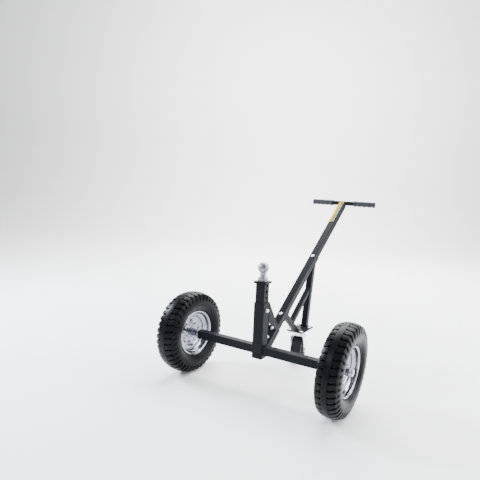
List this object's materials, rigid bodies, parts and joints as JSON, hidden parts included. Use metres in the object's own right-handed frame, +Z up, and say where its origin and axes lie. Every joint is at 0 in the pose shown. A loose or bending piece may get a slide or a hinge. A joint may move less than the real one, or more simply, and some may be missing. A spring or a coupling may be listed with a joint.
{
  "type": "trailer dolly with adjustable hitch ball",
  "caption": "Hand dolly for moving trailers: two pneumatic wheels on a tube axle, rear swivel caster, T-bar pull handle and a pinned post carrying a hitch ball.",
  "frame": {"origin": "centre of the bounding box's base, on the floor, midway between the wheels", "axes": "+X along the axle to the right wheel, +Y back towards the pull handle, +Z up"},
  "size_m": [0.8952, 1.1145, 0.866],
  "materials": {
    "frame_paint": "semi-gloss black powder coat",
    "zinc_fasteners": "bright zinc plating",
    "spindle_steel": "turned steel, lightly oiled",
    "grip_rubber": "matt dark grey rubber",
    "label_yellow": "printed vinyl, satin",
    "label_white": "printed vinyl, satin",
    "ball_chrome": "polished chrome plating",
    "tyre_rubber": "moulded black tyre rubber",
    "tube_rubber": "smooth black butyl rubber",
    "rim_zinc": "bright zinc plated pressed steel",
    "bearing_steel": "ground bearing steel",
    "caster_zinc": "bright zinc plated pressed steel",
    "caster_rubber": "solid black rubber",
    "caster_core": "moulded black plastic"
  },
  "bodies": {
    "frame": {"axle_tube_left": "frame_paint", "axle_tube_right": "frame_paint", "stub_axle_left": "spindle_steel", "stub_axle_right": "spindle_steel", "axle_washers": "zinc_fasteners", "axle_nuts": "zinc_fasteners", "post_outer": "frame_paint", "receiver": "frame_paint", "gusset_left": "frame_paint", "gusset_right": "frame_paint", "handle_tube": "frame_paint", "handle_bolts": "zinc_fasteners", "handle_nuts": "zinc_fasteners", "t_bar": "frame_paint", "grip_left": "grip_rubber", "grip_right": "grip_rubber", "label_stripe": "label_yellow", "label_marks": "label_white", "leg": "frame_paint", "leg_flange": "frame_paint", "brace": "frame_paint", "brace_flange": "frame_paint", "diagonal": "frame_paint", "deck_plate": "frame_paint", "deck_bolts": "zinc_fasteners", "deck_nuts": "zinc_fasteners", "caster_plate": "caster_zinc", "kingpin": "caster_zinc"},
    "ball_post": {"inner_post": "frame_paint", "ball_plate": "frame_paint", "hitch_ball": "ball_chrome", "ball_washer": "zinc_fasteners", "ball_nut": "zinc_fasteners"},
    "height_pin": {"lock_pin": "zinc_fasteners"},
    "left_wheel": {"tyre_left": "tyre_rubber", "inner_tube_left": "tube_rubber", "rim_outer_left": "rim_zinc", "rim_inner_left": "rim_zinc", "rim_bolts_left": "zinc_fasteners", "rim_nuts_left": "zinc_fasteners", "hub_left": "rim_zinc", "bearings_left": "bearing_steel", "valve_left": "tube_rubber"},
    "right_wheel": {"tyre_right": "tyre_rubber", "inner_tube_right": "tube_rubber", "rim_outer_right": "rim_zinc", "rim_inner_right": "rim_zinc", "rim_bolts_right": "zinc_fasteners", "rim_nuts_right": "zinc_fasteners", "hub_right": "rim_zinc", "bearings_right": "bearing_steel", "valve_right": "tube_rubber"},
    "caster_swivel": {"caster_fork": "caster_zinc", "caster_bolt": "zinc_fasteners", "caster_nut": "zinc_fasteners"},
    "caster_wheel": {"caster_tyre": "caster_rubber", "caster_core": "caster_core"}
  },
  "joints": [
    {"name": "left_wheel_spin", "type": "hinge", "parent": "frame", "child": "left_wheel", "pos_m": [-0.396, -0.35725, 0.2], "axis": [1, 0, 0], "continuous": true},
    {"name": "right_wheel_spin", "type": "hinge", "parent": "frame", "child": "right_wheel", "pos_m": [0.396, -0.35725, 0.2], "axis": [1, 0, 0], "continuous": true},
    {"name": "caster_turn", "type": "hinge", "parent": "frame", "child": "caster_swivel", "pos_m": [0, 0.04475, 0.163], "axis": [0, 0, 1], "continuous": true},
    {"name": "caster_roll", "type": "hinge", "parent": "caster_swivel", "child": "caster_wheel", "pos_m": [-0.0052, 0.0692, 0.075], "axis": [0.9781, 0.2079, 0], "continuous": true},
    {"name": "post_lift", "type": "slide", "parent": "frame", "child": "ball_post", "axis": [0, 0, 1], "range_m": [0, 0.165]},
    {"name": "pin_pull", "type": "slide", "parent": "frame", "child": "height_pin", "axis": [1, 0, 0], "range_m": [0, 0.065]}
  ]
}
